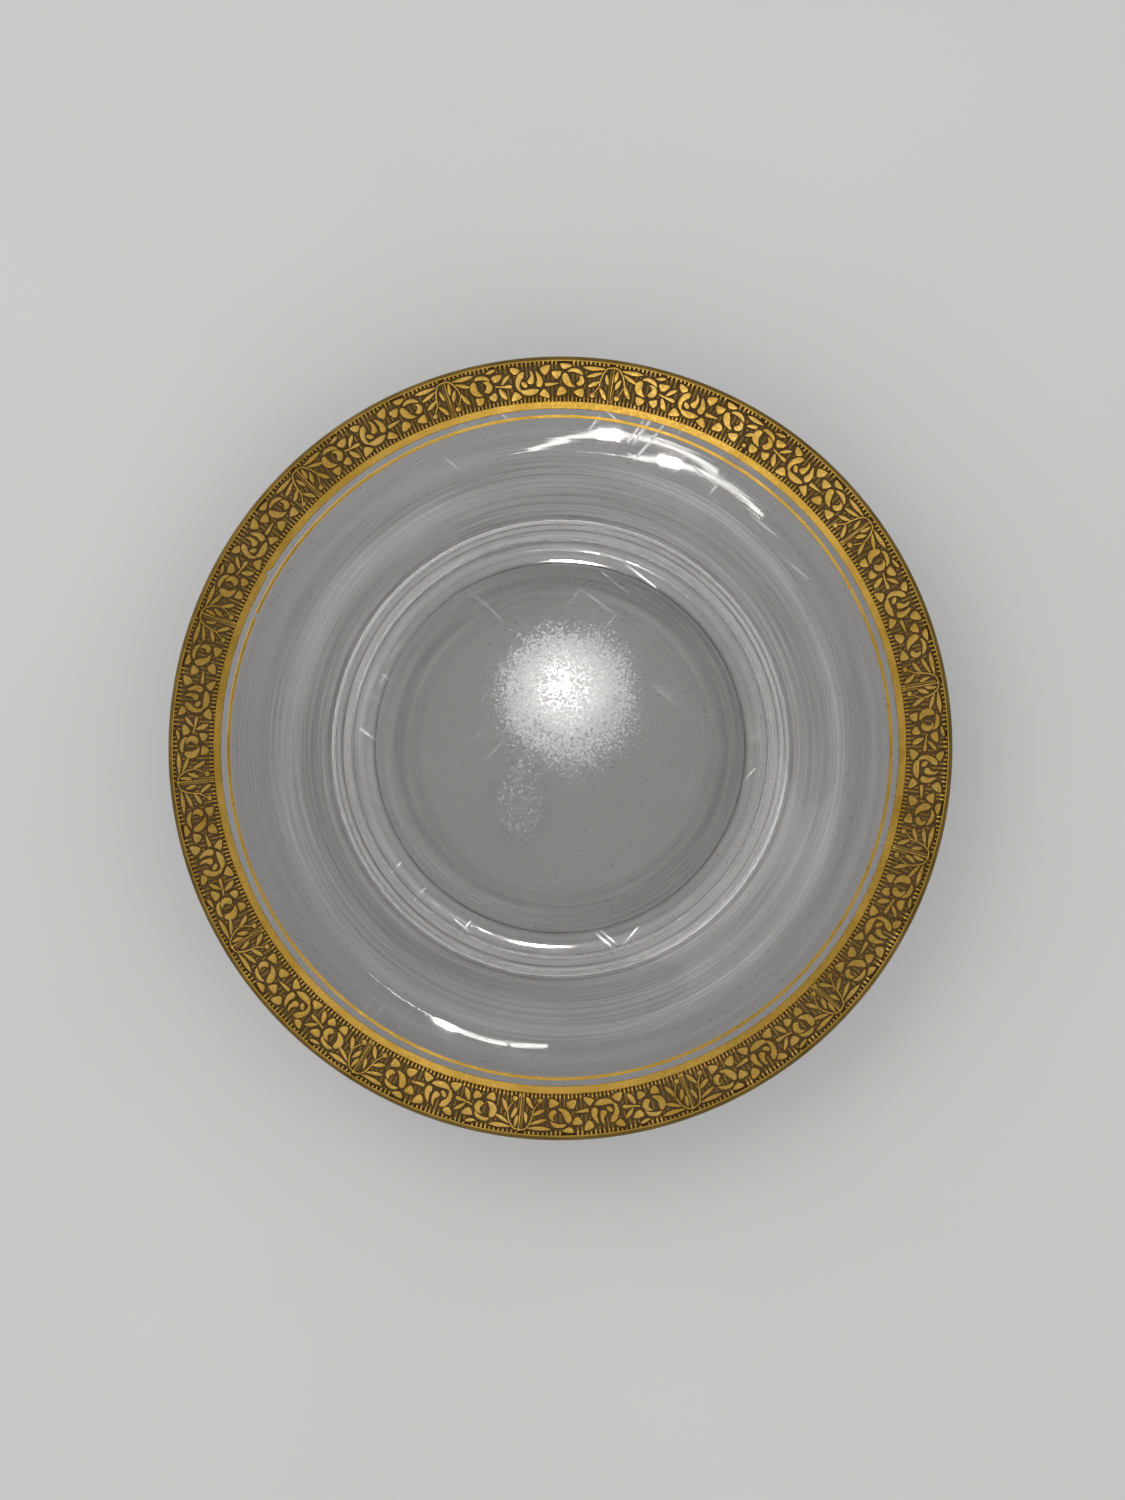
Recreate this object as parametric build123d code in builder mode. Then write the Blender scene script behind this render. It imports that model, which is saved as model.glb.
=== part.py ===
from build123d import *
import os
from math import cos, radians, sin, tan

# Clear glass plate with a deep well, a foot ring and a gold-encrusted rim band. Millimetres, +Z up.
# The origin is at the centre of the foot ring's resting face. Every piece is round about the Z axis.
# Sections are drawn on the XZ plane as (radius, height), so a section point's X is its radius.

# Overall
PLATE_R = 101.5  # outside radius, over the gold on the lip
GOLD = 0.3  # built-up thickness of the fired gold layers

# Base and foot ring
FOOT_OUTER_R = 63.6
FOOT_INNER_R = 59.2
FOOT_H = 2.3  # height of the hollow under the base, inside the foot ring
FOOT_HEEL_H = 4.0  # height at which the foot ring's outer side meets the wall
FOOT_HEEL_R = FOOT_OUTER_R + 0.7
FOOT_INNER_DRAFT = 0.6  # how much the foot ring's inner side leans over its height
FOOT_EDGE_FILLET = 1.3
FOOT_ROOT_FILLET = 0.8
FOOT_HEEL_FILLET = 2.0
DISC_R = 51.8  # polished disc on the underside, set a little higher than the rest
DISC_DEPTH = 0.45
DISC_DRAFT = 0.3
DISC_FILLET = 0.2
FLOOR_Z = 6.2  # top face of the well's floor

# Wall of the well
WELL_R = 58.4  # where the floor and the wall would meet if their corner were sharp
WALL_SLOPE = radians(38)
WELL_FILLET = 30.0

# Flange, from the shoulder at the top of the wall to the lip
SHOULDER_R = 75.0
SHOULDER_Z = FLOOR_Z + (SHOULDER_R - WELL_R) * tan(WALL_SLOPE)
SHOULDER_FILLET = 16.0
FLANGE_SLOPE = radians(15.5)
FLANGE_T = 3.2  # thickness at the shoulder
UNDER_START = 1.2  # where the flange's underside begins, measured along the flange
LIP_T = 2.4  # thickness at the lip
LIP_TOP_BEVEL = 0.6
LIP_UNDER_BEVEL = 1.1  # cut by two facets

# Gold, as radii on the flange's top face
HAIRLINE_INNER_R = 86.25
HAIRLINE_OUTER_R = 87.05
BORDER_INNER_R = 88.45
BAND_INNER_R = 90.3
BAND_OUTER_R = 100.0
LIP_UNDER_WRAP = 2.2  # how far the lip's gold returns under the flange, measured from the lip's end


def flange_point(along, lift=0.0):
    """(radius, height) of a point `along` the flange's slope and `lift` above its top face."""
    radius = SHOULDER_R + along * cos(FLANGE_SLOPE) - lift * sin(FLANGE_SLOPE)
    height = SHOULDER_Z + along * sin(FLANGE_SLOPE) + lift * cos(FLANGE_SLOPE)
    return (radius, height)


def along_at(radius):
    """Distance along the flange's top face at which that face reaches a radius."""
    return (radius - SHOULDER_R) / cos(FLANGE_SLOPE)


# The widest place is the corner above the lip's lower bevel, so the flange's length follows from PLATE_R
LIP_END = along_at(PLATE_R - (LIP_T - LIP_UNDER_BEVEL) * sin(FLANGE_SLOPE)) - GOLD

# The lip's own outline, from the top face round to the underside
facet = LIP_UNDER_BEVEL * (1 - cos(radians(45)))
under_lean = (FLANGE_T - LIP_T) / (LIP_END - UNDER_START)  # the flange's underside closes on its top face
under_start = LIP_END - LIP_UNDER_WRAP
lip_outline = [
    flange_point(LIP_END - LIP_TOP_BEVEL),
    flange_point(LIP_END, -LIP_TOP_BEVEL),
    flange_point(LIP_END, -LIP_T + LIP_UNDER_BEVEL),
    flange_point(LIP_END - facet, -LIP_T + facet),
    flange_point(LIP_END - LIP_UNDER_BEVEL, -LIP_T),
    flange_point(under_start, -LIP_T - LIP_UNDER_WRAP * under_lean),
]

# The plate: one piece of glass
glass_outline = [
    (0, FLOOR_Z),
    (WELL_R, FLOOR_Z),
    (SHOULDER_R, SHOULDER_Z),
    *lip_outline,
    flange_point(UNDER_START, -FLANGE_T),
    (FOOT_HEEL_R, FOOT_HEEL_H),
    (FOOT_OUTER_R, 0),
    (FOOT_INNER_R, 0),
    (FOOT_INNER_R - FOOT_INNER_DRAFT, FOOT_H),
    (DISC_R, FOOT_H),
    (DISC_R - DISC_DRAFT, FOOT_H + DISC_DEPTH),
    (0, FOOT_H + DISC_DEPTH),
]
glass_rounds = [
    0,
    WELL_FILLET,
    SHOULDER_FILLET,
    *[0] * len(lip_outline),
    SHOULDER_FILLET,
    FOOT_HEEL_FILLET,
    FOOT_EDGE_FILLET,
    FOOT_EDGE_FILLET,
    FOOT_ROOT_FILLET,
    DISC_FILLET,
    DISC_FILLET,
    0,
]
with BuildPart() as glass_plate:
    with BuildSketch(Plane.XZ):
        with BuildLine():
            FilletPolyline(*glass_outline, radius=glass_rounds, close=True)
        make_face()
    revolve(axis=Axis.Z)

# Gold on the flange's top face: flat rings of one thickness, one piece each
ring_radii = {
    "gold_hairline": (HAIRLINE_INNER_R, HAIRLINE_OUTER_R),
    "gold_inner_border": (BORDER_INNER_R, BAND_INNER_R),
    "etched_gold_band": (BAND_INNER_R, BAND_OUTER_R),
}
gold_rings = {}
for name, (inner_r, outer_r) in ring_radii.items():
    inner, outer = along_at(inner_r), along_at(outer_r)
    with BuildPart() as ring:
        with BuildSketch(Plane.XZ):
            with BuildLine():
                Polyline(
                    flange_point(inner),
                    flange_point(outer),
                    flange_point(outer, GOLD),
                    flange_point(inner, GOLD),
                    close=True,
                )
            make_face()
        revolve(axis=Axis.Z)
    gold_rings[name] = ring

# Gold on the lip: from the band's outer edge, round the lip and a short way under the flange
with BuildPart() as gold_lip_edge:
    with BuildSketch(Plane.XZ):
        with BuildLine():
            lip_face = Polyline(flange_point(along_at(BAND_OUTER_R)), *lip_outline)
            offset(lip_face, amount=GOLD, side=Side.LEFT, kind=Kind.INTERSECTION)
        make_face()
    revolve(axis=Axis.Z)

pieces = {"glass_plate": glass_plate, "gold_lip_edge": gold_lip_edge, **gold_rings}
os.makedirs("parts", exist_ok=True)
for name, piece in pieces.items():
    piece.part.label = name
    export_step(piece.part, f"parts/{name}.step")
    print(name, piece.part.bounding_box().size, "valid", piece.part.is_valid)
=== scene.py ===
import math
import random

import bpy
import numpy as np
from mathutils import Matrix, Vector


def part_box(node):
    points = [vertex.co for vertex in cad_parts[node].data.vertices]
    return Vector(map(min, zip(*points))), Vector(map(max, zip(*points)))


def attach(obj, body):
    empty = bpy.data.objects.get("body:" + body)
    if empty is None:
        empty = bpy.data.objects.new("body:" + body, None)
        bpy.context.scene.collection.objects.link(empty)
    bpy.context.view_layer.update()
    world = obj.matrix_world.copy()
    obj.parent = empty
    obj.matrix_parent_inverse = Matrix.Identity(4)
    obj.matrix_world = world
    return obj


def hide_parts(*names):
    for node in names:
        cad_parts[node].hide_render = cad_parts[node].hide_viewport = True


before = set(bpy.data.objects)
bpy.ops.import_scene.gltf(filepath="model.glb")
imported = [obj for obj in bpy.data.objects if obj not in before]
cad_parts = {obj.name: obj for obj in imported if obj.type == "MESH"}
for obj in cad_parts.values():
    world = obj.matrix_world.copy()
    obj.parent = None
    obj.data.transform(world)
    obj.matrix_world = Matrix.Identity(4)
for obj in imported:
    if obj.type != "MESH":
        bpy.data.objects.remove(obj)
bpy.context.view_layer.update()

# Clear glass plate with an etched gold rim. Metres, +Z up, the foot ring stands on Z = 0.
# Azimuths run clockwise from +Y as seen from above.
MM = 0.001

# ---------------------------------------------------------------- sizes
PLATE_R, _, RIM_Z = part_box("gold_lip_edge")[1]
BAND_OUTER_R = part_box("etched_gold_band")[1][0]
BORDER_OUTER_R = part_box("gold_inner_border")[1][0]  # where the band begins
BORDER_INNER_R = 88.45 * MM
HAIRLINE_OUTER_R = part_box("gold_hairline")[1][0]
HAIRLINE_INNER_R = 86.25 * MM
GOLD = 0.3 * MM  # thickness of the CAD gold layers, which the relief fills
SINK = 0.02 * MM  # how deep the gold is let into the glass, so that no two faces coincide

FLANGE_SLOPE = math.radians(15.5)
WALL_SLOPE = math.radians(38)
FLOOR_Z = 6.2 * MM
WELL_R = 58.4 * MM
WELL_FILLET = 30.0 * MM
SHOULDER_R = 75.0 * MM
SHOULDER_Z = FLOOR_Z + (SHOULDER_R - WELL_R) * math.tan(WALL_SLOPE)
SHOULDER_FILLET = 16.0 * MM
FLANGE_T = 3.2 * MM
UNDER_START = 1.2 * MM
LIP_T = 2.4 * MM
LIP_TOP_FILLET = 0.6 * MM
LIP_UNDER_FILLET = 1.1 * MM
LIP_UNDER_WRAP = 2.2 * MM
FOOT_OUTER_R = 63.6 * MM
FOOT_INNER_R = 59.2 * MM
FOOT_H = 2.3 * MM
FOOT_HEEL_R = FOOT_OUTER_R + 0.7 * MM
FOOT_HEEL_H = 4.0 * MM
UNDERSIDE_TOP = 5.0 * MM  # the foot ring and the base lie below this height
FOOT_INNER_DRAFT = 0.6 * MM
DISC_R = 51.8 * MM
DISC_DRAFT = 0.3 * MM
DISC_DEPTH = 0.45 * MM

TURNS = 576  # segments round the plate in the gold rings
GLASS_TURNS = 320
FINE_STEP = 0.5 * MM  # spacing of the glass outline's points, where it has ripples
COARSE_STEP = 3.0 * MM  # and on the flat stretches that start on the axis
FOOT_ROUNDS = [r * MM for r in (2, 1.3, 1.3, 0.8, 0.2, 0.2)]  # from the heel inwards to the polished disc

RIPPLE = 0.0003 * MM  # height of the faint rings in the wall and the flange
RIPPLE_FROM_R = 57 * MM
RIPPLE_FADE_IN = 5 * MM
RIPPLE_TO_R = 86 * MM
RIPPLE_FADE_OUT = 6 * MM
RIPPLE_WIDE = 0.35 * MM
RIPPLE_FINE = 0.21 * MM

BRIGHT_LINE = 0.2 * MM  # width of the bright gold line beside the band
LIP_TOP_DEPTH = 1.2 * MM  # how far below the rim the lip's upper face begins
HAIRLINE_LIFT = GOLD * 0.5
EDGE_BEVEL = 0.10 * MM  # width of a gold ring's sloped edges
SHARP_EDGE = 28  # degrees above which an edge of the gold stays sharp
NICK_DEG = 300.7  # a chip in the inner border
NICK_HALF_DEG = 0.45
NICK_DEPTH = 0.9 * MM
NICK_REACH = 0.2 * MM  # only points this near the border's inner edge move
BREAK_DEG = (292.7, 293.5)  # where the hairline is worn through

SPOTS_MIDDLE = (-11.0 * MM, -15.0 * MM)  # the patch of dried water spots
SPOTS_REACH = (10.0 * MM, 15.0 * MM)
WORN_MIDDLE = (2.1 * MM, 14.3 * MM)  # the scuffed patch that the lamp lights up
WORN_REACH = (31.0 * MM, 31.0 * MM)


def flange_point(along, lift=0.0):
    """(radius, height) of a point along the flange's slope and lift above its top face."""
    radius = SHOULDER_R + along * math.cos(FLANGE_SLOPE) - lift * math.sin(FLANGE_SLOPE)
    height = SHOULDER_Z + along * math.sin(FLANGE_SLOPE) + lift * math.cos(FLANGE_SLOPE)
    return (radius, height)


def along_at(radius):
    """Distance along the flange at which its top face reaches a radius."""
    return (radius - SHOULDER_R) / math.cos(FLANGE_SLOPE)


LIP_LEAN = (LIP_T - LIP_UNDER_FILLET) * math.sin(FLANGE_SLOPE)
LIP_END = along_at(PLATE_R - LIP_UNDER_FILLET - GOLD - LIP_LEAN) + LIP_UNDER_FILLET


# ---------------------------------------------------------------- mesh helpers
def rounded(corners, radii, step=0.35 * MM):
    """Points of a closed outline whose corners are rounded by tangent arcs."""
    points = []
    count = len(corners)
    for i, radius in enumerate(radii):
        corner = Vector(corners[i])
        if radius == 0:
            points.append(corner)
            continue
        back = (Vector(corners[i - 1]) - corner).normalized()
        ahead = (Vector(corners[(i + 1) % count]) - corner).normalized()
        half = back.angle(ahead) / 2
        centre = corner + (back + ahead).normalized() * (radius / math.sin(half))
        start = corner + back * (radius / math.tan(half)) - centre
        end = corner + ahead * (radius / math.tan(half)) - centre
        sweep = start.angle(end)
        turns = max(5, math.ceil(radius * sweep / step))
        for k in range(turns + 1):
            u = k / turns
            a = math.sin((1 - u) * sweep) / math.sin(sweep)
            b = math.sin(u * sweep) / math.sin(sweep)
            points.append(centre + start * a + end * b)
    return [(p[0], p[1]) for p in points]


def subdivided(points, step_of, closed=True):
    """The same outline with extra points on its long stretches, step_of(a, b) apart."""
    out = []
    ends = points[1:] + points[:1] if closed else points[1:]
    for a, b in zip(points, ends):
        parts = max(1, round(math.dist(a, b) / step_of(a, b)))
        out += [(a[0] + (b[0] - a[0]) * k / parts, a[1] + (b[1] - a[1]) * k / parts) for k in range(parts)]
    return out if closed else out + [points[-1]]


def new_piece(name, points, faces, materials, slot, nodes, indices=None, crease=None):
    """A smooth-shaded mesh object that rides on the frame's one body.
    indices gives each face its material, and edges over crease degrees stay sharp."""
    mesh = bpy.data.meshes.new(name)
    mesh.from_pydata([tuple(map(float, p)) for p in points], [], faces)
    for material in materials:
        mesh.materials.append(material)
    if indices is not None:
        mesh.polygons.foreach_set("material_index", indices)
    mesh.polygons.foreach_set("use_smooth", [True] * len(mesh.polygons))
    mesh.validate()
    mesh.update()
    if crease:
        mesh.set_sharp_from_angle(angle=math.radians(crease))
    piece = bpy.data.objects.new(name, mesh)
    bpy.context.scene.collection.objects.link(piece)
    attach(piece, "root")
    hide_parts(*nodes)
    return piece


def area(outline):
    """Signed area of a closed flat outline, positive when it runs anticlockwise."""
    x, y = np.array(outline, float).T
    return float(np.dot(x, np.roll(y, -1)) - np.dot(y, np.roll(x, -1))) / 2


def revolve(outline, turns=TURNS, shape=None, gap=None):
    """Points and faces of a (radius, height) outline turned about Z, clockwise from +Y.
    A closed outline gives a ring. One that begins and ends on the axis gives a solid of revolution.
    shape(azimuth, radius, height) may change the radius and height, and gap=(from, to) in degrees
    leaves a stretch of the ring out."""
    on_axis = outline[0][0] == 0
    section = np.array(outline[1:-1] if on_axis else outline)
    if gap:
        angles = np.radians(np.linspace(gap[1], gap[0] + 360, turns))
    else:
        angles = np.radians(np.arange(turns) * 360 / turns)
    azimuth = angles[:, None]
    radius = np.repeat(section[None, :, 0], turns, 0)
    height = np.repeat(section[None, :, 1], turns, 0)
    if shape is not None:
        radius, height = shape(azimuth, radius, height)
    points = np.stack([radius * np.sin(azimuth), radius * np.cos(azimuth), height], -1).reshape(-1, 3)
    cols = len(section)
    faces = []
    for i in range(turns - 1 if gap else turns):
        j = (i + 1) % turns
        for k in range(cols - 1 if on_axis else cols):
            m = (k + 1) % cols
            faces.append((i * cols + k, i * cols + m, j * cols + m, j * cols + k))
        if on_axis:
            faces.append((turns * cols, i * cols, j * cols))
            faces.append((turns * cols + 1, j * cols + cols - 1, i * cols + cols - 1))
    if gap:
        faces.append(tuple(range(cols))[::-1])
        faces.append(tuple(range((turns - 1) * cols, turns * cols)))
    if on_axis:
        poles = [(0, 0, outline[0][1]), (0, 0, outline[-1][1])]
        points = np.concatenate([points, poles])
    # an anticlockwise outline gives faces that look outwards
    if area(outline) < 0:
        faces = [face[::-1] for face in faces]
    return points, faces


# ---------------------------------------------------------------- materials
BLACK = (0, 0, 0)
WHITE = (1, 1, 1)


def grey(level):
    return (level, level, level)


def shader(name):
    """A new node material: (material, tree, its Principled shader)."""
    material = bpy.data.materials.new(name)
    material.use_nodes = True
    tree = material.node_tree
    return material, tree, tree.nodes["Principled BSDF"]


def node(tree, kind, inputs=(), **settings):
    """A node with its settings, and inputs given by name or index as values or sockets."""
    made = tree.nodes.new(kind)
    for key, value in settings.items():
        setattr(made, key, value)
    for key, value in dict(inputs).items():
        if isinstance(value, bpy.types.NodeSocket):
            tree.links.new(value, made.inputs[key])
        else:
            made.inputs[key].default_value = value
    return made


def maths(tree, operation, *values):
    """The output of a Math node."""
    return node(tree, "ShaderNodeMath", dict(enumerate(values)), operation=operation).outputs[0]


def ramp(tree, factor, *stops):
    """The colour output of a straight colour ramp with (position, colour) stops."""
    made = node(tree, "ShaderNodeValToRGB", {"Fac": factor})
    made.color_ramp.interpolation = "LINEAR"
    elements = made.color_ramp.elements
    while len(elements) < len(stops):
        elements.new(1.0)
    for element, (position, colour) in zip(elements, stops):
        element.position = position
        element.color = (*colour, 1.0)
    return made.outputs["Color"]


def multiplied(tree, first, second, share=1.0):
    """The colour output of first multiplied by a share of second."""
    settings = {"data_type": "RGBA", "blend_type": "MULTIPLY"}
    return node(tree, "ShaderNodeMix", {0: share, 6: first, 7: second}, **settings).outputs[2]


def place_on_piece(tree):
    """The socket of a shaded point's place."""
    return node(tree, "ShaderNodeTexCoord").outputs["Object"]


def polar(tree):
    """(position, radius, azimuth) sockets of a shaded point."""
    position = place_on_piece(tree)
    split = node(tree, "ShaderNodeSeparateXYZ", {0: position})
    x = split.outputs["X"]
    y = split.outputs["Y"]
    squares = maths(tree, "ADD", maths(tree, "MULTIPLY", x, x), maths(tree, "MULTIPLY", y, y))
    return position, maths(tree, "SQRT", squares), maths(tree, "ARCTAN2", x, y)


def noise(tree, vector, scale, detail=3.0, roughness=0.5):
    inputs = {"Vector": vector, "Scale": scale, "Detail": detail, "Roughness": roughness}
    return node(tree, "ShaderNodeTexNoise", inputs).outputs["Fac"]


def streaks(tree, radius, azimuth, per_metre, per_turn, detail=4.0):
    """Noise drawn out into concentric streaks: fine across the radius, slow round the plate."""
    wide = node(tree, "ShaderNodeCombineXYZ", {
        0: maths(tree, "MULTIPLY", radius, per_metre),
        1: maths(tree, "MULTIPLY", maths(tree, "SINE", azimuth), per_turn),
        2: maths(tree, "MULTIPLY", maths(tree, "COSINE", azimuth), per_turn),
    })
    return noise(tree, wide.outputs[0], scale=1.0, detail=detail, roughness=0.6)


def window(tree, radius, *stops):
    """A level from 0 to 1 that follows (radius in mm, level) stops."""
    # the ramp runs from 0 to 1 over a radius of 100 mm
    return ramp(tree, maths(tree, "MULTIPLY", radius, 10.0), *[(r / 100, grey(v)) for r, v in stops])


def lines(tree, radius, base, *marks):
    """Grey level round the plate: base, with soft lines given as (middle mm, half width mm, level)."""
    stops = []
    for middle, half, level in sorted(marks):
        reach = 1.6 * half
        stops += [(middle - reach, base), (middle, level), (middle + reach, base)]
    return window(tree, radius, *stops)


def weighted(tree, *pairs):
    """The sum of weight times socket."""
    total = 0.0
    for weight, socket in pairs:
        total = maths(tree, "MULTIPLY_ADD", socket, weight, total)
    return total


def tool_marks_and_painted_light(tree, position, radius, azimuth):
    """How dark the glass looks: concentric streaks, partly tool marks and partly painted caustic bands and
    reflections, over painted light and shade that varies with the radius: 0 dark, 0.5 plain, 1 bright.
    """
    bands = streaks(tree, radius, azimuth, per_metre=430.0, per_turn=0.45, detail=2.0)
    rings = streaks(tree, radius, azimuth, per_metre=1500.0, per_turn=0.9, detail=2.0)
    hairs = streaks(tree, radius, azimuth, per_metre=3600.0, per_turn=3.4, detail=2.0)
    marks = weighted(tree, (0.44, bands), (0.32, rings), (0.24, hairs))
    # the marks and painted caustic bands are strongest on the wall and die away towards the middle and the
    # hairline
    on_floor = ((36, 0.0), (43, 0.35), (54, 0.5))
    on_wall = ((58, 1.0), (76, 1.0), (80, 0.5), (86, 0.4), (87, 0.1))
    strength = maths(tree, "MULTIPLY", window(tree, radius, *on_floor, *on_wall), 4.6)
    depth = maths(tree, "MULTIPLY", maths(tree, "SUBTRACT", marks, 0.5), strength)
    # painted light and shade by radius: over the foot ring the glass is painted at its brightest
    painted_light_within_foot = ((0, 0.60), (38, 0.58), (44, 0.48), (51, 0.55))
    painted_light_over_foot = ((57, 1.0), (61.5, 1.0), (65, 0.6), (70, 0.5))
    return maths(tree, "ADD", depth, window(tree, radius, *painted_light_within_foot, *painted_light_over_foot))


def distance_from(tree, position, middle, reach):
    """Distance from the middle of an oval patch of the glass, 1 at its edge."""
    offset = node(tree, "ShaderNodeVectorMath", {0: position, 1: (*middle, 0.0)}, operation="SUBTRACT")
    shares = (1 / reach[0], 1 / reach[1], 0.0)
    scaled = node(tree, "ShaderNodeVectorMath", {0: offset.outputs[0], 1: shares}, operation="MULTIPLY")
    return node(tree, "ShaderNodeVectorMath", {0: scaled.outputs[0]}, operation="LENGTH").outputs["Value"]


def spots(tree, position):
    """Dried water spots in one patch of the well's floor."""
    distance = distance_from(tree, position, SPOTS_MIDDLE, SPOTS_REACH)
    patch = ramp(tree, distance, (0.4, WHITE), (1.0, BLACK))
    grain = noise(tree, position, scale=1200.0, detail=1.0, roughness=0.4)
    dots = ramp(tree, grain, (0.60, BLACK), (0.64, WHITE))
    return maths(tree, "MULTIPLY", patch, dots)


def scratches(tree, position, turn, scale):
    """Thin straight scratches that all run one way."""
    turned = node(tree, "ShaderNodeVectorRotate", {"Vector": position, "Angle": turn}).outputs[0]
    drawn_out = (scale, scale * 0.05, 0.0)
    drawn = node(tree, "ShaderNodeVectorMath", {0: turned, 1: drawn_out}, operation="MULTIPLY")
    grain = noise(tree, drawn.outputs[0], scale=1.0, detail=1.0, roughness=0.4)
    return ramp(tree, grain, (0.715, BLACK), (0.735, WHITE))


def glass_colour(tree, position, radius, azimuth):
    """The tint of the glass: tool marks with painted caustic bands and painted light over the foot ring,
    the foot ring's lines painted as refraction shade and highlight, dust and dried spots.
    """
    tone = tool_marks_and_painted_light(tree, position, radius, azimuth)
    # dark and bright are the ends of the tool marks and the painted caustic bands
    dark = (0.40, 0.39, 0.39)
    plain = (0.70, 0.69, 0.688)
    bright = (0.99, 0.985, 0.98)
    tint = ramp(tree, tone, (0.0, dark), (0.5, plain), (1.0, bright))
    # painted refraction shade and highlight: the foot ring's edges and the base's step, painted on the
    # underside as the thin dark and bright rings they show from above
    step_painted_rings = ((52.0, 0.32, 0.36), (54.6, 0.2, 0.62), (56.3, 0.8, 1.0))
    inner_painted_rings = ((58.6, 0.5, 0.18), (60.6, 0.65, 1.0), (62.2, 0.3, 0.25))
    outer_painted_rings = ((63.5, 0.3, 1.0), (65.1, 0.5, 0.28))
    foot = lines(tree, radius, 0.85, *step_painted_rings, *inner_painted_rings, *outer_painted_rings)
    height = node(tree, "ShaderNodeSeparateXYZ", {0: position}).outputs["Z"]
    below = maths(tree, "LESS_THAN", height, UNDERSIDE_TOP)
    tint_with_painted_rings = multiplied(tree, tint, foot, below)
    specks = noise(tree, position, scale=1300.0, detail=1.0, roughness=0.4)
    dust = ramp(tree, specks, (0.695, WHITE), (0.72, (0.66, 0.64, 0.62)))
    dusty = multiplied(tree, tint_with_painted_rings, dust)
    stain_edge = (0.62, 0.61, 0.60)
    stain = ramp(tree, spots(tree, position), (0.0, WHITE), (0.5, stain_edge), (1.0, grey(0.95)))
    return multiplied(tree, dusty, stain)


def make_glass():
    """Clear glass, faintly grey, with concentric tool marks and painted caustic bands, painted shade and
    highlight rings over the foot ring, scuffs, scratches and water spots.
    """
    material, tree, bsdf = shader("clear_glass")
    bsdf.inputs["Transmission Weight"].default_value = 1.0
    bsdf.inputs["IOR"].default_value = 1.5
    position, radius, azimuth = polar(tree)
    tree.links.new(glass_colour(tree, position, radius, azimuth), bsdf.inputs["Base Color"])
    # scuffs: grains of rougher surface, thick in the middle of the well and rare elsewhere
    distance = distance_from(tree, position, WORN_MIDDLE, WORN_REACH)
    cover = ramp(tree, distance, (0.0, grey(0.62)), (0.5, grey(0.56)), (1.0, BLACK))
    grain = noise(tree, position, scale=1500.0, detail=3.0, roughness=0.7)
    patches = noise(tree, position, scale=60.0, detail=4.0, roughness=0.6)
    level = weighted(tree, (1.0, grain), (0.25, patches), (0.6, cover))
    scuffed = ramp(tree, level, (0.90, BLACK), (0.98, WHITE))
    one_way = scratches(tree, position, turn=0.7, scale=900.0)
    other_way = scratches(tree, position, turn=-0.9, scale=700.0)
    scored = maths(tree, "MAXIMUM", one_way, other_way)
    dried = spots(tree, position)
    worn = weighted(tree, (0.34, scuffed), (0.20, scored), (0.45, dried))
    tree.links.new(maths(tree, "ADD", worn, 0.02), bsdf.inputs["Roughness"])
    turned = window(tree, radius, (40, 0.0), (50, 1.0))
    tooling = streaks(tree, radius, azimuth, per_metre=1500.0, per_turn=1.2)
    fine = maths(tree, "MULTIPLY", tooling, turned)
    relief = weighted(tree, (1.0, fine), (0.3, scored), (0.4, dried))
    bump = node(tree, "ShaderNodeBump", {"Height": relief, "Strength": 0.003, "Distance": 0.0003})
    tree.links.new(bump.outputs[0], bsdf.inputs["Normal"])
    return material


def make_gold(name, dull, bright, rough_low, rough_high, brushed=0.15):
    """Fired gold with cloudy colour, fine brush streaks and small worn specks."""
    material, tree, bsdf = shader(name)
    bsdf.inputs["Metallic"].default_value = 1.0
    position, radius, azimuth = polar(tree)
    cloud = noise(tree, position, scale=90.0, detail=4.0, roughness=0.6)
    colour = ramp(tree, cloud, (0.32, dull), (0.68, bright))
    speck = noise(tree, position, scale=2600.0, detail=2.0)
    worn = ramp(tree, speck, (0.62, WHITE), (0.74, (0.55, 0.50, 0.45)))
    tree.links.new(multiplied(tree, colour, worn, 0.6), bsdf.inputs["Base Color"])
    grain = noise(tree, position, scale=1400.0, roughness=0.6)
    rough = ramp(tree, grain, (0.35, grey(rough_low)), (0.70, grey(rough_high)))
    tree.links.new(rough, bsdf.inputs["Roughness"])
    fine = streaks(tree, radius, azimuth, per_metre=3000.0, per_turn=3.0)
    height = maths(tree, "ADD", maths(tree, "MULTIPLY", fine, brushed), maths(tree, "MULTIPLY", grain, 0.3))
    bump = node(tree, "ShaderNodeBump", {"Height": height, "Strength": 0.35, "Distance": 0.00006})
    tree.links.new(bump.outputs[0], bsdf.inputs["Normal"])
    return material


def make_etched_ground():
    """The acid-eaten ground between the motifs: dark, granular and hardly shiny."""
    material, tree, bsdf = shader("etched_ground")
    bsdf.inputs["Metallic"].default_value = 0.85
    grain = noise(tree, place_on_piece(tree), scale=3200.0, roughness=0.65)
    colour = ramp(tree, grain, (0.30, (0.06, 0.037, 0.014)), (0.72, (0.18, 0.112, 0.043)))
    tree.links.new(colour, bsdf.inputs["Base Color"])
    rough = ramp(tree, grain, (0.3, grey(0.75)), (0.7, grey(0.55)))
    tree.links.new(rough, bsdf.inputs["Roughness"])
    bump = node(tree, "ShaderNodeBump", {"Height": grain, "Strength": 0.8, "Distance": 0.00012})
    tree.links.new(bump.outputs[0], bsdf.inputs["Normal"])
    return material


def make_floor_material():
    material, tree, bsdf = shader("pale_floor")
    cloud = noise(tree, place_on_piece(tree), scale=6.0)
    colour = ramp(tree, cloud, (0.3, grey(0.70)), (0.7, grey(0.73)))
    tree.links.new(colour, bsdf.inputs["Base Color"])
    bsdf.inputs["Roughness"].default_value = 0.8
    bsdf.inputs["Specular IOR Level"].default_value = 0.2
    return material


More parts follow.
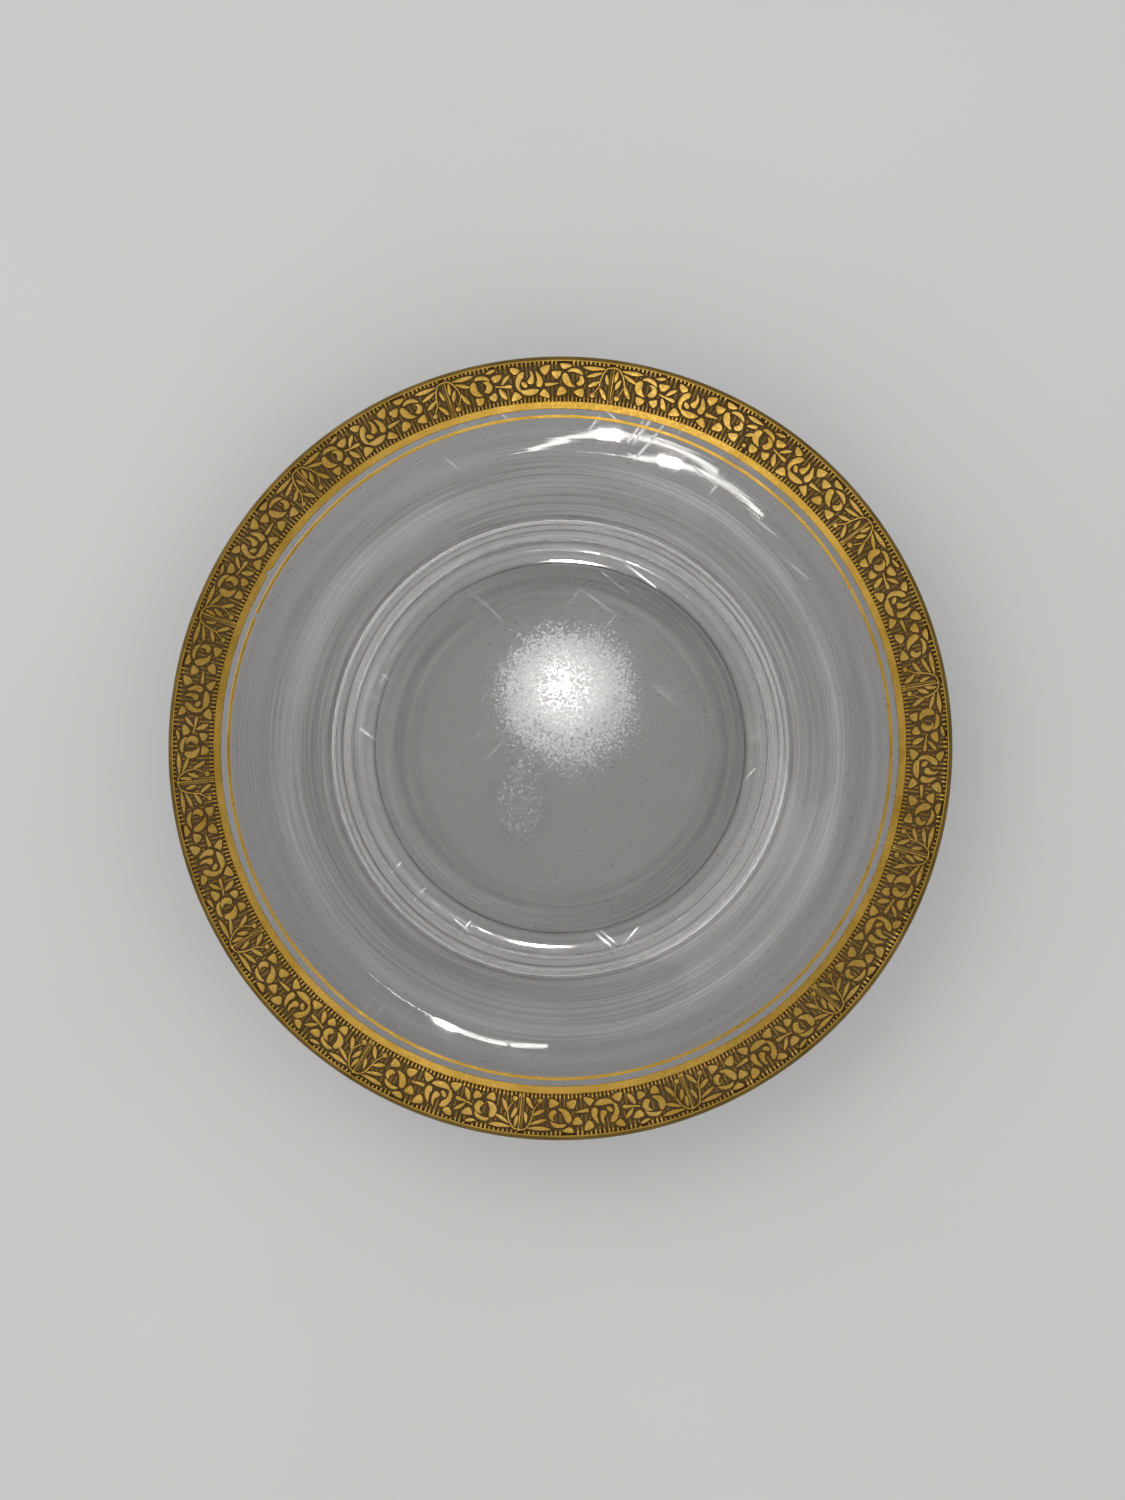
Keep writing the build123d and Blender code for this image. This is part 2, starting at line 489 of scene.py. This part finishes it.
GLASS = make_glass()
PLAIN_GOLD = make_gold("plain_gold", dull=(0.50, 0.30, 0.045), bright=(0.70, 0.435, 0.09),
                       rough_low=0.27, rough_high=0.36, brushed=0.08)
# painted reflection: the lip's gold is made a very dark brown that stands in for the dark surroundings its
# rounded edge reflects
DARK_REFLECTION_GOLD = make_gold("edge_gold_painted_reflection", dull=(0.13, 0.083, 0.022), bright=(0.23, 0.15, 0.040),
                      rough_low=0.36, rough_high=0.50)
MOTIF_GOLD = make_gold("motif_gold", dull=(0.50, 0.30, 0.05), bright=(0.72, 0.46, 0.12),
                       rough_low=0.26, rough_high=0.38)
RIB_GOLD = make_gold("rib_gold", dull=(0.20, 0.125, 0.03), bright=(0.38, 0.24, 0.06),
                     rough_low=0.42, rough_high=0.58)
GROUND = make_etched_ground()


# ---------------------------------------------------------------- glass
def ripple(azimuth, radius, height):
    """Faint rings that the mould and the wheel left in the wall and the flange."""
    inner = np.clip((radius - RIPPLE_FROM_R) / RIPPLE_FADE_IN, 0, 1)
    outer = np.clip((RIPPLE_TO_R - radius) / RIPPLE_FADE_OUT, 0, 1)
    waver = 1.4 * np.sin(azimuth) + 0.7 * np.sin(2 * azimuth + 1.0)
    wave = np.sin(radius / RIPPLE_WIDE + waver) + 0.6 * np.sin(radius / RIPPLE_FINE - 1.5 * waver)
    return radius, height + RIPPLE * inner * outer * wave * (height > FOOT_HEEL_H)


def outline_step(a, b):
    """Spacing of the points between two corners of the glass outline."""
    return COARSE_STEP if min(a[0], b[0]) <= 1 * MM else FINE_STEP


def make_plate():
    """The pressed glass: floor, well, flange, lip, and the foot ring round a polished base."""
    corners = [
        (0, FLOOR_Z),
        (WELL_R, FLOOR_Z),
        (SHOULDER_R, SHOULDER_Z),
        flange_point(LIP_END),
        flange_point(LIP_END, -LIP_T),
        flange_point(UNDER_START, -FLANGE_T),
        (FOOT_HEEL_R, FOOT_HEEL_H),
        (FOOT_OUTER_R, 0),
        (FOOT_INNER_R, 0),
        (FOOT_INNER_R - FOOT_INNER_DRAFT, FOOT_H),
        (DISC_R, FOOT_H),
        (DISC_R - DISC_DRAFT, FOOT_H + DISC_DEPTH),
        (0, FOOT_H + DISC_DEPTH),
    ]
    upper_rounds = [WELL_FILLET, SHOULDER_FILLET, LIP_TOP_FILLET, LIP_UNDER_FILLET, SHOULDER_FILLET]
    outline = rounded(corners, [0, *upper_rounds, *FOOT_ROUNDS, 0], FINE_STEP)
    outline = subdivided(outline, outline_step, closed=False)
    points, faces = revolve(outline, GLASS_TURNS, ripple)
    return new_piece("plate_glass", points, faces, [GLASS], "clear_glass", ["glass_plate"])


# ---------------------------------------------------------------- gold rings
def ring_outline(inner_r, outer_r, lift):
    """Section of a gold ring on the flange, its two edges sloped off."""
    a = along_at(inner_r)
    b = along_at(outer_r)
    return [
        flange_point(a, -SINK),
        flange_point(b, -SINK),
        flange_point(b, lift * 0.6),
        flange_point(b - EDGE_BEVEL, lift),
        flange_point(a + EDGE_BEVEL, lift),
        flange_point(a, lift * 0.6),
    ]


def make_ring(name, node_name, inner_r, outer_r, lift, shape=None, gap=None):
    points, faces = revolve(ring_outline(inner_r, outer_r, lift), TURNS, shape, gap)
    return new_piece(name, points, faces, [PLAIN_GOLD], "plain_gold", [node_name], crease=SHARP_EDGE)


def nicked(azimuth, radius, height):
    """The inner border with one small chip out of its inner edge."""
    away = (np.degrees(azimuth) - NICK_DEG) / NICK_HALF_DEG
    chip = NICK_DEPTH * np.exp(-away ** 2) * (radius < BORDER_INNER_R + NICK_REACH)
    return radius + chip, height + chip * math.tan(FLANGE_SLOPE)


def is_bright_line(point):
    """Whether a point of the lip lies in the bright gold line beside the band."""
    x, y, height = point
    return math.hypot(x, y) < BAND_OUTER_R + BRIGHT_LINE and height > RIM_Z - LIP_TOP_DEPTH


def make_lip():
    """Gold from the band's outer edge over the lip and a little way under it, painted dark as the dark
    reflection of the rounded lip, with a thin line of plain gold beside the band.
    """
    start = along_at(BAND_OUTER_R)
    under = LIP_END - LIP_UNDER_WRAP
    lean = (FLANGE_T - LIP_T) / (LIP_END - UNDER_START)
    depth = LIP_T + LIP_UNDER_WRAP * lean
    inner = LIP_END - SINK
    corners = [
        flange_point(start, -SINK),
        flange_point(start, GOLD),
        flange_point(LIP_END + GOLD, GOLD),
        flange_point(LIP_END + GOLD, -LIP_T - GOLD),
        flange_point(under, -depth - GOLD),
        flange_point(under, SINK - depth),
        flange_point(inner, SINK - LIP_T),
        flange_point(inner, -SINK),
    ]
    outside = [LIP_TOP_FILLET + GOLD, LIP_UNDER_FILLET + GOLD]
    inside_glass = [LIP_UNDER_FILLET - SINK, LIP_TOP_FILLET - SINK]
    points, faces = revolve(rounded(corners, [0, 0, *outside, 0, 0, *inside_glass]), TURNS)
    indices = [1 if is_bright_line(points[list(face)].mean(0)) else 0 for face in faces]
    return new_piece("lip_gold", points, faces, [DARK_REFLECTION_GOLD, PLAIN_GOLD], "plain_gold", ["gold_lip_edge"],
                     indices, crease=SHARP_EDGE)


# ---------------------------------------------------------------- etched band
# The band is drawn flat, in millimetres: along it (clockwise from a fan's middle) and out from the
# inner border. One repeat runs from fan to fan.
REPEAT_MM = 42.87
REPEAT_DEG = 26.16
BAND_MM = 11.06
FIRST_FAN_DEG = 54.8
SEAM_FAN_DEG = 28.75  # where the fan before the joint in the printed strip would be
FANS = 13
GROUND_LIFT = 0.06 * MM
MOTIF_LIFT = GOLD
RIB_LIFT = 0.22 * MM
GROUND_STEP = 2.5 * MM
FULLER = 1.11  # how much the fired gold has spread past the drawn outlines
THINNEST = 0.02  # half width that a stroke never goes below

RIBS = 40  # per repeat
RIB_STEP = 0.14  # millimetres between the tests along a rib
RIB_GAP = 0.34  # clear ground kept round every motif
RIB_SHORTEST = 0.5
RIB_HALF_WIDTH = (0.22, 0.28)  # from and to
RIB_STRAY = 0.06  # how far a rib may stand from its even place
RIB_END = 0.08  # length of the slope at a rib's end
TOOTH = 0.85  # length of the bright teeth beside each border
TOOTH_SLOPE = 0.25

# Where the printed strip's two ends meet: after the joint only what lies past a fan is there,
# and before the joint the ribs stop short.
SEAM_MOTIFS_FROM = 5.6
SEAM_RIBS_FROM = 6.6
SEAM_RIBS_TO = 39.0


def place(along, out, lift, fan_deg):
    """Points on the flange for arrays of the flat drawing's coordinates."""
    azimuth = np.radians(fan_deg + np.asarray(along) * REPEAT_DEG / REPEAT_MM)
    radius = BORDER_OUTER_R + np.asarray(out) / BAND_MM * (BAND_OUTER_R - BORDER_OUTER_R)
    height = SHOULDER_Z + (radius - SHOULDER_R) * math.tan(FLANGE_SLOPE) + lift * math.cos(FLANGE_SLOPE)
    radius = radius - lift * math.sin(FLANGE_SLOPE)
    return np.stack([radius * np.sin(azimuth), radius * np.cos(azimuth), height], -1)


def smooth_line(stations, parts):
    """Catmull-Rom through (along, out, half width) stations."""
    p = np.array([stations[0], *stations, stations[-1]], float)
    rows = []
    for i in range(1, len(p) - 2):
        for k in range(parts):
            t = k / parts
            a, b, c, d = p[i - 1:i + 3]
            square = 2 * a - 5 * b + 4 * c - d
            cube = 3 * b - a - 3 * c + d
            rows.append(0.5 * (2 * b + (c - a) * t + square * t**2 + cube * t**3))
    rows.append(p[-2])
    rows = np.array(rows)
    rows[:, 2] = np.maximum(rows[:, 2], THINNEST)
    return rows


def stroke(*stations, parts=4):
    """A raised stroke of varying width: (flat points, heights 0..1, faces, outline)."""
    line = smooth_line(stations, parts)
    ahead = np.gradient(line[:, :2], axis=0)
    ahead /= np.linalg.norm(ahead, axis=1)[:, None]
    side = np.stack([-ahead[:, 1], ahead[:, 0]], 1)
    across = np.array([-1.08, -0.9, 0.0, 0.9, 1.08])
    rise = np.array([0.0, 0.96, 1.0, 0.96, 0.0])
    half = line[:, 2] * FULLER
    flat = line[:, None, :2] + side[:, None, :] * across[None, :, None] * half[:, None, None]
    high = np.repeat(rise[None, :], len(line), 0)
    high[0] = high[-1] = 0.0
    n, m = flat.shape[:2]
    faces = []
    for i in range(n - 1):
        for k in range(m - 1):
            a = i * m + k
            faces.append((a, a + 1, a + m + 1, a + m))
    outline = np.concatenate([flat[:, 0], flat[::-1, -1]])
    return flat.reshape(-1, 2), high.reshape(-1), faces, outline


def leaf(start, end, half_width, bow=0.0):
    """A pointed leaf from start to end, widest a little past its middle."""
    a, b = np.array(start, float), np.array(end, float)
    side = np.array([-(b - a)[1], (b - a)[0]]) * bow
    shape = ((0.0, 0.12), (0.22, 0.62), (0.5, 1.0), (0.78, 0.78), (1.0, 0.05))
    stations = []
    for u, w in shape:
        x, y = a + (b - a) * u + side * 4 * u * (1 - u)
        stations.append((x, y, w * half_width))
    return stroke(*stations, parts=3)


def stem(*points, half_width=0.16):
    return stroke(*[(x, y, half_width) for x, y in points], parts=3)


def blob(corners, bulge=0.12, parts=5):
    """A raised petal whose sides bow out between its corners."""
    corners = np.array(corners, float)
    middle = corners.mean(0)
    outline = []
    for i, a in enumerate(corners):
        b = corners[(i + 1) % len(corners)]
        side = np.array([(b - a)[1], -(b - a)[0]])
        if np.dot(side, (a + b) / 2 - middle) < 0:
            side = -side
        bow = bulge[i] if isinstance(bulge, (list, tuple)) else bulge
        for k in range(parts):
            u = k / parts
            outline.append(a + (b - a) * u + side * bow * 4 * u * (1 - u))
    outline = np.array(outline)
    # corners are eased a little, as an etched resist leaves them
    outline = 0.6 * outline + 0.2 * np.roll(outline, 1, 0) + 0.2 * np.roll(outline, -1, 0)
    middle = outline.mean(0)
    outline = middle + (outline - middle) * math.sqrt(FULLER)
    rings = [(1.05, 0.0), (0.95, 0.96), (0.5, 1.0)]
    flat = np.concatenate([middle + (outline - middle) * s for s, _ in rings] + [middle[None]])
    n = len(outline)
    high = np.concatenate([np.full(n, h) for _, h in rings] + [[1.0]])
    faces = []
    for r in range(len(rings) - 1):
        for k in range(n):
            m = (k + 1) % n
            faces.append((r * n + k, r * n + m, (r + 1) * n + m, (r + 1) * n + k))
    last = (len(rings) - 1) * n
    faces += [(last + k, last + (k + 1) % n, len(flat) - 1) for k in range(n)]
    return flat, high, faces, outline


def berry(centre, radius):
    angles = [math.radians(60 * k) for k in range(6)]
    corners = [(centre[0] + radius * math.cos(a), centre[1] + radius * math.sin(a)) for a in angles]
    return blob(corners, 0.13, 3)


def fan_left(shift=0.0):
    """The left half of a fan of leaves and berries; shift moves it along the strip."""
    def at(*points):
        return [(p[0] + shift, *p[1:]) for p in points]

    return [
        stem(*at((0, 10.0), (-1.5, 9.75), (-2.5, 8.3), (-3.1, 6.2), (-3.35, 4.4))),
        leaf(*at((-2.1, 9.5), (-7.9, 9.5)), 0.52, 0.03),
        leaf(*at((-2.6, 8.5), (-6.9, 6.9)), 0.45, 0.03),
        leaf(*at((-3.2, 6.1), (-6.3, 4.3)), 0.5, 0.04),
        leaf(*at((-1.75, 8.2), (-1.0, 5.1)), 0.42, -0.04),
        leaf(*at((-3.3, 4.3), (-1.2, 0.9)), 0.5, 0.04),
        stem(*at((-3.3, 4.6), (-4.1, 3.3), (-4.75, 2.4)), half_width=0.13),
        berry((-4.85 + shift, 1.95), 0.62),
    ]


def fan_right():
    return [
        stem((0, 10.0), (1.2, 9.75), (2.2, 8.5), (2.9, 6.9), (3.2, 5.3)),
        leaf((1.9, 9.55), (7.5, 9.6), 0.54, -0.03),
        leaf((2.4, 8.7), (6.4, 6.7), 0.45, -0.03),
        leaf((0.98, 9.5), (0.5, 6.1), 0.42, 0.03),
        leaf((2.2, 7.2), (1.05, 4.1), 0.5, -0.05),
        leaf((3.3, 5.8), (5.15, 2.2), 0.5, -0.05),
        stem((3.2, 5.3), (2.7, 3.9), (1.9, 2.5), half_width=0.13),
        berry((1.65, 1.87), 0.66),
        stem((0, 0.1), (0, 5.2), (0, 10.6), half_width=0.13),
    ]


def rose_one():
    return [
        stroke((7.5, 7.9, 0.25), (6.95, 6.9, 0.78), (6.85, 5.6, 0.85), (7.6, 4.5, 0.62),
               (8.9, 3.75, 0.08)),
        stroke((7.4, 8.15, 0.1), (8.3, 8.6, 0.42), (9.5, 8.5, 0.5), (10.6, 8.05, 0.42),
               (11.4, 7.1, 0.06)),
        stroke((9.4, 7.35, 0.08), (10.5, 6.9, 0.45), (11.0, 5.8, 0.72), (10.4, 4.75, 0.72),
               (9.6, 5.1, 0.25)),
        leaf((10.5, 9.45), (13.2, 10.2), 0.42, -0.05),
        blob([(11.75, 8.25), (14.6, 8.5), (12.8, 6.4)], [0.06, 0.14, 0.10]),
        blob([(6.8, 3.5), (9.1, 3.15), (7.5, 1.0)], [-0.04, 0.18, 0.12]),
        blob([(10.3, 3.1), (12.2, 4.0), (12.05, 1.5)], [-0.04, 0.16, 0.16]),
    ]


def sprig():
    return [
        stem((12.3, 5.6), (13.4, 5.3), (14.4, 5.15), half_width=0.2),
        leaf((14.1, 5.5), (16.6, 8.1), 0.45, 0.04),
        stroke((12.9, 5.4, 0.1), (14.6, 5.1, 0.25), (16.0, 4.95, 0.46), (16.85, 4.8, 0.3)),
        leaf((13.4, 4.9), (15.1, 1.5), 0.62, -0.05),
    ]


def scroll():
    """The U-shaped scroll with a flame in it, and the petals round it."""
    return [
        stroke((20.2, 7.7, 0.3), (19.7, 7.75, 0.72), (18.9, 6.9, 0.7), (18.35, 5.6, 0.55), (18.4, 4.3, 0.4),
               (19.0, 3.2, 0.15)),
        stroke((18.9, 3.6, 0.1), (19.9, 2.9, 0.62), (21.3, 2.75, 0.82), (22.7, 2.95, 0.65),
               (23.9, 3.3, 0.06)),
        stroke((23.2, 8.5, 0.08), (23.6, 7.5, 0.36), (24.1, 6.2, 0.6), (23.95, 4.9, 0.78),
               (23.8, 4.0, 0.35)),
        stroke((19.5, 5.8, 0.2), (19.8, 5.2, 0.5), (20.3, 4.7, 0.5), (20.8, 4.3, 0.2)),
        stroke((21.6, 8.9, 0.05), (22.1, 7.9, 0.28), (22.15, 6.8, 0.45), (21.7, 5.6, 0.8),
               (21.5, 5.0, 0.3)),
        blob([(16.7, 10.0), (19.2, 9.1), (17.95, 7.85)], [0.10, 0.10, 0.14]),
        blob([(17.25, 3.4), (19.3, 1.6), (16.1, 0.75)], [0.06, 0.06, 0.04]),
        blob([(25.0, 3.6), (26.7, 0.9), (23.7, 2.0)], [0.10, 0.06, -0.03]),
        blob([(26.85, 10.1), (24.25, 9.15), (25.5, 7.1)], [0.06, 0.08, 0.12]),
    ]


def rose_two():
    return [
        blob([(27.1, 8.15), (29.75, 8.25), (28.45, 6.0)], [0.05, 0.10, 0.10]),
        stroke((25.3, 4.6, 0.35), (26.1, 4.65, 0.46), (27.6, 4.8, 0.30), (29.1, 4.95, 0.05)),
        blob([(29.3, 10.4), (32.4, 9.85), (30.4, 8.75)], [0.06, 0.03, 0.12]),
        blob([(29.55, 4.2), (31.25, 2.4), (28.4, 1.55)], [0.14, 0.08, 0.10]),
        blob([(32.8, 2.6), (35.5, 3.8), (35.45, 1.2)], [0.04, 0.05, 0.08]),
        stroke((31.0, 7.8, 0.25), (30.65, 7.0, 0.74), (31.0, 5.8, 0.85), (31.9, 4.6, 0.6),
               (33.4, 3.95, 0.06)),
        stroke((31.2, 8.05, 0.1), (32.1, 8.5, 0.4), (33.3, 8.55, 0.5), (34.4, 8.1, 0.42),
               (35.3, 7.3, 0.06)),
        stroke((34.2, 7.2, 0.08), (34.9, 6.6, 0.4), (34.95, 5.6, 0.66), (34.3, 4.95, 0.62),
               (33.6, 5.3, 0.2)),
    ]


def seam_tips():
    """The cut-off tips of the next fan's leaves, just before the joint in the strip."""
    return [
        leaf((39.9, 9.4), (35.2, 9.5), 0.5, 0.02),
        stroke((38.9, 8.0, 0.4), (37.6, 7.55, 0.45), (36.2, 6.95, 0.1)),
        stroke((39.1, 5.9, 0.3), (38.2, 5.3, 0.45), (37.1, 4.3, 0.06)),
        berry((38.2, 1.95), 0.5),
    ]


def inside(points, outline):
    """Which points lie in a closed outline."""
    x, y = points[:, 0][:, None], points[:, 1][:, None]
    x0, y0 = outline[:, 0][None], outline[:, 1][None]
    x1, y1 = np.roll(outline[:, 0], -1)[None], np.roll(outline[:, 1], -1)[None]
    crosses = (y0 > y) != (y1 > y)
    slope = np.where(y1 == y0, 1e-9, y1 - y0)
    return (crosses & (x < (x1 - x0) * (y - y0) / slope + x0)).sum(1) % 2 == 1


def near(points, outline, gap):
    """Which points lie in an outline or within gap of it."""
    a = outline[None]
    b = np.roll(outline, -1, 0)[None]
    p = points[:, None]
    t = ((p - a) * (b - a)).sum(-1) / np.maximum(((b - a) ** 2).sum(-1), 1e-12)
    closest = a + (b - a) * np.clip(t, 0, 1)[..., None]
    return inside(points, outline) | (np.linalg.norm(p - closest, axis=-1).min(1) < gap)


def rib_spans(along, motifs):
    """Stretches of a rib at one place along the strip that stay clear of the motifs."""
    outs = np.arange(0.0, BAND_MM + 1e-6, RIB_STEP)
    points = np.stack([np.full_like(outs, along), outs], 1)
    blocked = np.zeros(len(outs), bool)
    for *_, outline in motifs:
        if outline[:, 0].min() - RIB_GAP < along < outline[:, 0].max() + RIB_GAP:
            blocked |= near(points, outline, RIB_GAP)
    spans, begin = [], None
    for out, stop in zip([*outs, outs[-1]], [*blocked, True]):
        if not stop and begin is None:
            begin = out
        elif stop and begin is not None:
            if out - begin > RIB_SHORTEST:
                spans.append((begin, min(out, BAND_MM)))
            begin = None
    return spans


def rib(along, begin, end, half_width):
    """One fine raised rib across the band: a tall tooth beside each border and low between."""
    marks = [(begin, 0.0), (begin + RIB_END, None), (end - RIB_END, None), (end, 0.0)]
    steps = (TOOTH, TOOTH + TOOTH_SLOPE, BAND_MM - TOOTH - TOOTH_SLOPE, BAND_MM - TOOTH)
    marks += [(m, None) for m in steps if begin + 0.1 < m < end - 0.1]
    marks.sort()
    flat, high = [], []
    for out, lift in marks:
        in_tooth = out <= TOOTH or out >= BAND_MM - TOOTH
        lift = (1.0 if in_tooth else 0.5) if lift is None else lift
        for side, rise in ((-1.0, 0.0), (-0.75, 1.0), (0.75, 1.0), (1.0, 0.0)):
            flat.append((along + side * half_width, out))
            high.append(rise * lift)
    faces = []
    for i in range(len(marks) - 1):
        faces += [(i * 4 + k, i * 4 + k + 1, i * 4 + k + 5, i * 4 + k + 4) for k in range(3)]
    return np.array(flat), np.array(high), faces, None


def gather(patches_at):
    """One mesh from [(patch, fan azimuth, lift)], with its feet sunk just under the ground."""
    points, faces, total = [], [], 0
    feet = GROUND_LIFT * 0.4
    for (flat, high, patch_faces, _), fan_deg, lift in patches_at:
        lifts = feet + high * (lift - feet)
        points.append(place(flat[:, 0], flat[:, 1], lifts, fan_deg))
        upward = [f if area(flat[list(f)]) > 0 else f[::-1] for f in patch_faces]
        faces += [tuple(v + total for v in f) for f in upward]
        total += len(flat)
    return np.concatenate(points), faces


def is_tooth(points, face):
    """Whether a rib's face lies in the row of teeth beside either border."""
    radius = math.hypot(*points[list(face), :2].mean(0))
    out = (radius - BORDER_OUTER_R) / (BAND_OUTER_R - BORDER_OUTER_R) * BAND_MM
    return out < TOOTH + 0.1 or out > BAND_MM - TOOTH - 0.3


def make_band():
    """The etched band in three meshes: its dark ground, the flowers and the ribs."""
    rng = random.Random(7)
    repeat = fan_right() + rose_one() + sprig() + scroll() + rose_two()
    whole = repeat + fan_left()
    after_fan = [m for m in repeat if m[3][:, 0].min() > SEAM_MOTIFS_FROM]
    fans = [FIRST_FAN_DEG + REPEAT_DEG * k for k in range(FANS)]
    motifs = [(m, SEAM_FAN_DEG, MOTIF_LIFT) for m in after_fan]
    for fan_deg in fans:
        motifs += [(m, fan_deg, MOTIF_LIFT) for m in whole]
    motifs += [(m, fans[-1], MOTIF_LIFT) for m in seam_tips()]

    # the ribs' clear stretches are worked out once, for one repeat
    plain = repeat + fan_left() + fan_left(REPEAT_MM)
    ribs = []
    spans = {}
    for k in range(RIBS):
        along = (k + 0.5) * REPEAT_MM / RIBS
        spans[along] = rib_spans(along, plain)
    for fan_deg in [SEAM_FAN_DEG, *fans]:
        for along, stretches in spans.items():
            if fan_deg == SEAM_FAN_DEG and along < SEAM_RIBS_FROM:
                continue
            if fan_deg == fans[-1] and along > SEAM_RIBS_TO:
                continue
            for begin, end in stretches:
                half_width = rng.uniform(*RIB_HALF_WIDTH)
                stray = rng.uniform(-RIB_STRAY, RIB_STRAY)
                ribs.append((rib(along + stray, begin, end, half_width), fan_deg, RIB_LIFT))

    motif_points, motif_faces = gather(motifs)
    rib_points, rib_faces = gather(ribs)
    outline = subdivided([
        flange_point(along_at(BORDER_OUTER_R), -SINK),
        flange_point(along_at(BAND_OUTER_R), -SINK),
        flange_point(along_at(BAND_OUTER_R), GROUND_LIFT),
        flange_point(along_at(BORDER_OUTER_R), GROUND_LIFT),
    ], lambda a, b: GROUND_STEP)
    ground_points, ground_faces = revolve(outline, TURNS)
    teeth = [0 if is_tooth(rib_points, face) else 1 for face in rib_faces]
    etched = ("etched_gold", ["etched_gold_band"])
    return [
        new_piece("band_ground", ground_points, ground_faces, [GROUND], *etched),
        new_piece("band_flowers", motif_points, motif_faces, [MOTIF_GOLD], *etched, crease=SHARP_EDGE),
        new_piece("band_ribs", rib_points, rib_faces, [MOTIF_GOLD, RIB_GOLD], *etched, teeth,
                  crease=SHARP_EDGE),
    ]


# ---------------------------------------------------------------- stage
CAMERA_H = 0.2787  # above the rim's plane
CAMERA_PLACE = Vector((0.0091, -0.0115, RIM_Z + CAMERA_H))
CAMERA_TARGET = Vector((0.00154, -0.00172, RIM_Z))
LENS_MM = 26
SENSOR_MM = 36

WARM = (1.0, 0.965, 0.92)
KEY_PLACE = (308, 50, 1.6)  # azimuth and tilt from the vertical in degrees, and distance
CEILING_PLACES = ((200, 11.4, 3.0), (213, 12.5, 3.0), (12.5, 15.6, 3.0))
LAMP_PLACE = (-0.0063, 0.0439, RIM_Z + CAMERA_H)
LAMP_TARGET = (*WORN_MIDDLE, FLOOR_Z)
LAMP_CONE = math.radians(30)
FLOOR_HALF = 2.0
FLOOR_DROP = 0.05 * MM  # the floor lies just below the foot ring


def make_camera():
    """A camera almost straight above the plate, level with the picture's sides."""
    camera = bpy.data.objects.new("camera", bpy.data.cameras.new("camera"))
    bpy.context.scene.collection.objects.link(camera)
    camera.data.lens = LENS_MM
    camera.data.sensor_width = SENSOR_MM
    camera.data.clip_start = 0.01
    camera.location = CAMERA_PLACE
    backward = (CAMERA_PLACE - CAMERA_TARGET).normalized()
    right = (Vector((1, 0, 0)) - backward * backward.x).normalized()
    up = backward.cross(right)
    camera.rotation_euler = Matrix((right, up, backward)).transposed().to_euler()
    bpy.context.scene.camera = camera


def place_light(name, light, location, target=(0, 0, 0), lit=None):
    """A lamp aimed at a target. With lit, it shines only on those pieces."""
    made = bpy.data.objects.new(name, light)
    bpy.context.scene.collection.objects.link(made)
    made.location = location
    made.rotation_euler = (Vector(target) - Vector(location)).to_track_quat("-Z", "Y").to_euler()
    if lit:
        receivers = bpy.data.collections.new(name + "_receivers")
        for piece in lit:
            receivers.objects.link(piece)
        made.light_linking.receiver_collection = receivers


def area_light(name, location, size, power, colour=WHITE):
    light = bpy.data.lights.new(name, "AREA")
    light.shape = "RECTANGLE"
    light.size, light.size_y = size
    light.energy = power
    light.color = colour
    place_light(name, light, location)


def make_stage():
    """A pale floor, and a sky that is dim at the horizon and overhead and bright between."""
    mesh = bpy.data.meshes.new("floor")
    corners = [(x * FLOOR_HALF, y * FLOOR_HALF, 0) for x, y in ((-1, -1), (1, -1), (1, 1), (-1, 1))]
    mesh.from_pydata(corners, [], [(0, 1, 2, 3)])
    mesh.materials.append(make_floor_material())
    floor = bpy.data.objects.new("floor", mesh)
    floor.location.z = -FLOOR_DROP
    bpy.context.scene.collection.objects.link(floor)

    world = bpy.data.worlds.new("studio")
    bpy.context.scene.world = world
    world.use_nodes = True
    tree = world.node_tree
    direction = node(tree, "ShaderNodeTexCoord").outputs["Generated"]
    up = node(tree, "ShaderNodeSeparateXYZ", {0: direction}).outputs["Z"]
    sky = ramp(tree, up, (0.0, grey(0.14)), (0.15, grey(0.34)), (0.35, grey(0.95)), (0.72, grey(0.95)),
               (0.86, grey(0.30)), (1.0, (0.28, 0.28, 0.285)))
    tree.links.new(sky, tree.nodes["Background"].inputs["Color"])
    tree.nodes["Background"].inputs["Strength"].default_value = 1.0


def overhead(azimuth, tilt, distance):
    """A place above the plate, tilt degrees from the vertical towards an azimuth."""
    a = math.radians(azimuth)
    t = math.radians(tilt)
    aside = distance * math.sin(t)
    return (aside * math.sin(a), aside * math.cos(a), distance * math.cos(t))


def make_lights(glass):
    """A soft key, three far ceiling lights, each a long strip with a brighter middle, and a small lamp
    that lights the well of the glass alone."""
    area_light("key", overhead(*KEY_PLACE), (1.2, 1.2), 4.0)
    for i, ceiling in enumerate(CEILING_PLACES):
        area_light(f"bulb_{i}", overhead(*ceiling), (0.05, 0.02), 1.3, WARM)
        area_light(f"fitting_{i}", overhead(*ceiling), (0.50, 0.014), 0.5, WARM)
    lamp = bpy.data.lights.new("lamp", "SPOT")
    lamp.energy = 1.9
    lamp.color = (1.0, 0.985, 0.965)
    lamp.shadow_soft_size = 0.004
    lamp.spot_size = LAMP_CONE
    lamp.spot_blend = 0.4
    place_light("lamp", lamp, LAMP_PLACE, LAMP_TARGET, glass)


make_camera()
make_stage()
plate = make_plate()
make_ring("inner_border_gold", "gold_inner_border", BORDER_INNER_R, BORDER_OUTER_R, GOLD, nicked)
make_ring("hairline_gold", "gold_hairline", HAIRLINE_INNER_R, HAIRLINE_OUTER_R, HAIRLINE_LIFT,
          gap=BREAK_DEG)
make_lip()
make_band()
make_lights([plate])
bpy.context.scene.view_settings.view_transform = "Standard"
